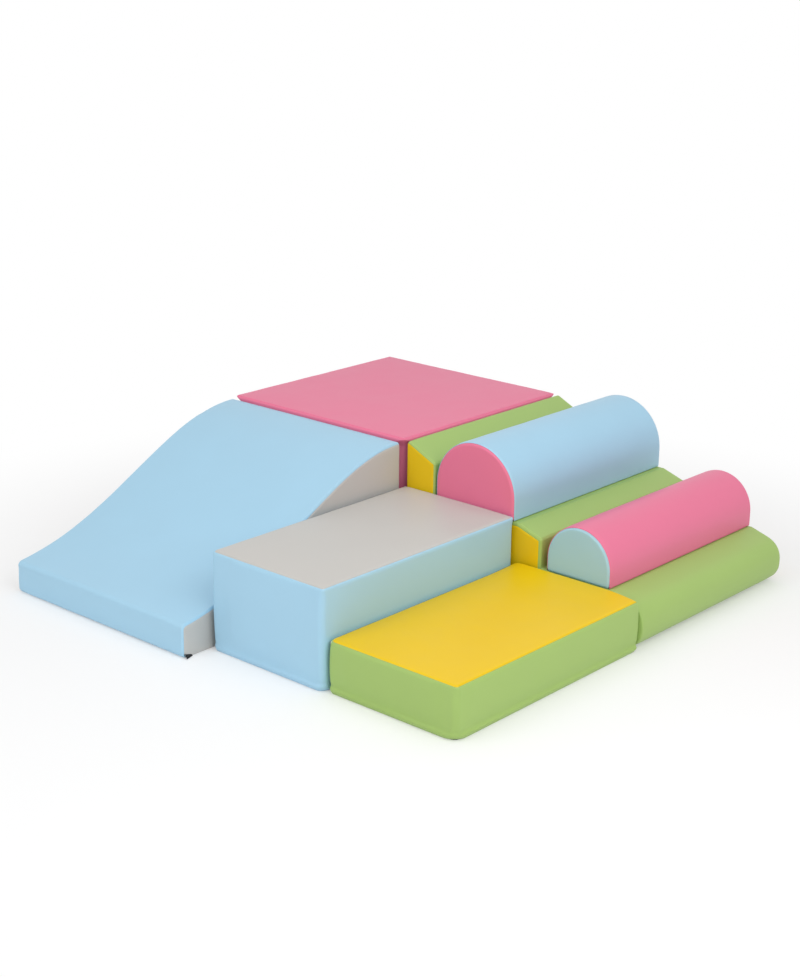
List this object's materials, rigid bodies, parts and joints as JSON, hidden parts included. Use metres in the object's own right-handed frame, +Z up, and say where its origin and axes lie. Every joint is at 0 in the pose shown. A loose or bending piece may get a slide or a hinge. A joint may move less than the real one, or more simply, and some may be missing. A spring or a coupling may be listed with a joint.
{
  "type": "soft play foam climber",
  "caption": "Soft play climber: foam platform with a wave slide, a stepped ramp that holds half-round bumps, and a high and a low step, each foam in a zipped cover.",
  "frame": {"origin": "centre of the whole climber's bounding box, on the floor", "axes": "+Z up; the slide runs down towards -Y beside the two steps, and the ramp with its bumps runs down towards +X"},
  "size_m": [1.319, 1.3428, 0.39],
  "materials": {
    "pink_cover": "smooth coated fabric, soft satin",
    "blue_cover": "smooth coated fabric, soft satin",
    "grey_cover": "smooth coated fabric, soft satin",
    "green_cover": "smooth coated fabric, soft satin",
    "yellow_cover": "smooth coated fabric, soft satin",
    "aqua_cover": "smooth coated fabric, soft satin",
    "grip_base": "dotted non-slip fabric, matt",
    "foam": "closed-cell polyethylene foam",
    "fastener_tape": "hook or loop pile, matt",
    "zip_chain": "nylon coil on woven tape",
    "zip_metal": "black enamel on die-cast zinc"
  },
  "bodies": {
    "platform": {"platform_foam_core": "foam", "platform_top_panel": "pink_cover", "platform_side_band": "pink_cover", "platform_base_panel": "grip_base", "platform_zip": "zip_chain", "platform_loop_tape_for_slide": "fastener_tape", "platform_loop_tape_for_ramp": "fastener_tape"},
    "platform_slider": {"platform_zip_slider": "zip_metal"},
    "platform_pull": {"platform_zip_pull": "zip_metal"},
    "slide": {"slide_foam_core": "foam", "slide_deck_panel": "blue_cover", "slide_left_side_panel": "grey_cover", "slide_right_side_panel": "grey_cover", "slide_base_panel": "grip_base", "slide_zip": "zip_chain", "slide_hook_tape": "fastener_tape"},
    "slide_slider": {"slide_zip_slider": "zip_metal"},
    "slide_pull": {"slide_zip_pull": "zip_metal"},
    "ramp": {"ramp_foam_core": "foam", "ramp_deck_panel": "green_cover", "ramp_near_side_panel": "yellow_cover", "ramp_far_side_panel": "yellow_cover", "ramp_base_panel": "grip_base", "ramp_zip": "zip_chain", "ramp_hook_tape": "fastener_tape", "ramp_loop_tape_for_high_step": "fastener_tape", "ramp_loop_tape_for_large_bump": "fastener_tape", "ramp_loop_tape_for_small_bump": "fastener_tape"},
    "ramp_slider": {"ramp_zip_slider": "zip_metal"},
    "ramp_pull": {"ramp_zip_pull": "zip_metal"},
    "high_step": {"high_step_foam_core": "foam", "high_step_top_panel": "grey_cover", "high_step_side_band": "blue_cover", "high_step_base_panel": "grip_base", "high_step_zip": "zip_chain", "high_step_hook_tape": "fastener_tape", "high_step_loop_tape_for_low_step": "fastener_tape"},
    "high_step_slider": {"high_step_zip_slider": "zip_metal"},
    "high_step_pull": {"high_step_zip_pull": "zip_metal"},
    "low_step": {"low_step_foam_core": "foam", "low_step_top_panel": "yellow_cover", "low_step_side_band": "green_cover", "low_step_base_panel": "grip_base", "low_step_zip": "zip_chain", "low_step_hook_tape": "fastener_tape"},
    "low_step_slider": {"low_step_zip_slider": "zip_metal"},
    "low_step_pull": {"low_step_zip_pull": "zip_metal"},
    "large_bump": {"large_bump_foam_core": "foam", "large_bump_round_cover": "blue_cover", "large_bump_near_end_panel": "pink_cover", "large_bump_far_end_panel": "pink_cover", "large_bump_base_panel": "grip_base", "large_bump_hook_tape": "fastener_tape"},
    "small_bump": {"small_bump_foam_core": "foam", "small_bump_round_cover": "pink_cover", "small_bump_near_end_panel": "aqua_cover", "small_bump_far_end_panel": "aqua_cover", "small_bump_base_panel": "grip_base", "small_bump_hook_tape": "fastener_tape"}
  },
  "joints": [
    {"name": "slide_pull_off", "type": "slide", "parent": "platform", "child": "slide", "axis": [0, -1, 0], "range_m": [0, 0.15]},
    {"name": "ramp_pull_off", "type": "slide", "parent": "platform", "child": "ramp", "axis": [1, 0, 0], "range_m": [0, 0.15]},
    {"name": "high_step_pull_off", "type": "slide", "parent": "ramp", "child": "high_step", "axis": [0, -1, 0], "range_m": [0, 0.15]},
    {"name": "low_step_pull_off", "type": "slide", "parent": "high_step", "child": "low_step", "axis": [1, 0, 0], "range_m": [0, 0.15]},
    {"name": "large_bump_lift_off", "type": "slide", "parent": "ramp", "child": "large_bump", "axis": [0, 0, 1], "range_m": [0, 0.15]},
    {"name": "small_bump_lift_off", "type": "slide", "parent": "ramp", "child": "small_bump", "axis": [0, 0, 1], "range_m": [0, 0.15]},
    {"name": "platform_zip_run", "type": "slide", "parent": "platform", "child": "platform_slider", "axis": [1, 0, 0], "range_m": [0, 0.5134]},
    {"name": "platform_pull_turn", "type": "hinge", "parent": "platform_slider", "child": "platform_pull", "pos_m": [-0.6173, 0.62035, 0.001], "axis": [0, -1, 0], "range_deg": [0, 120]},
    {"name": "slide_zip_run", "type": "slide", "parent": "slide", "child": "slide_slider", "axis": [-1, 0, 0], "range_m": [0, 0.5318]},
    {"name": "slide_pull_turn", "type": "hinge", "parent": "slide_slider", "child": "slide_pull", "pos_m": [-0.0795, -0.64535, 0.001], "axis": [0, 1, 0], "range_deg": [0, 120]},
    {"name": "ramp_zip_run", "type": "slide", "parent": "ramp", "child": "ramp_slider", "axis": [0, -1, 0], "range_m": [0, 0.5318]},
    {"name": "ramp_pull_turn", "type": "hinge", "parent": "ramp_slider", "child": "ramp_pull", "pos_m": [0.5855, 0.63635, 0.001], "axis": [-1, 0, 0], "range_deg": [0, 120]},
    {"name": "high_step_zip_run", "type": "slide", "parent": "high_step", "child": "high_step_slider", "axis": [0, -1, 0], "range_m": [0, 0.5549]},
    {"name": "high_step_pull_turn", "type": "hinge", "parent": "high_step_slider", "child": "high_step_pull", "pos_m": [-0.017, 0.01545, 0.001], "axis": [-1, 0, 0], "range_deg": [0, 120]},
    {"name": "low_step_zip_run", "type": "slide", "parent": "low_step", "child": "low_step_slider", "axis": [0, -1, 0], "range_m": [0, 0.5444]},
    {"name": "low_step_pull_turn", "type": "hinge", "parent": "low_step_slider", "child": "low_step_pull", "pos_m": [0.3307, 0.01545, 0.001], "axis": [-1, 0, 0], "range_deg": [0, 120]}
  ]
}
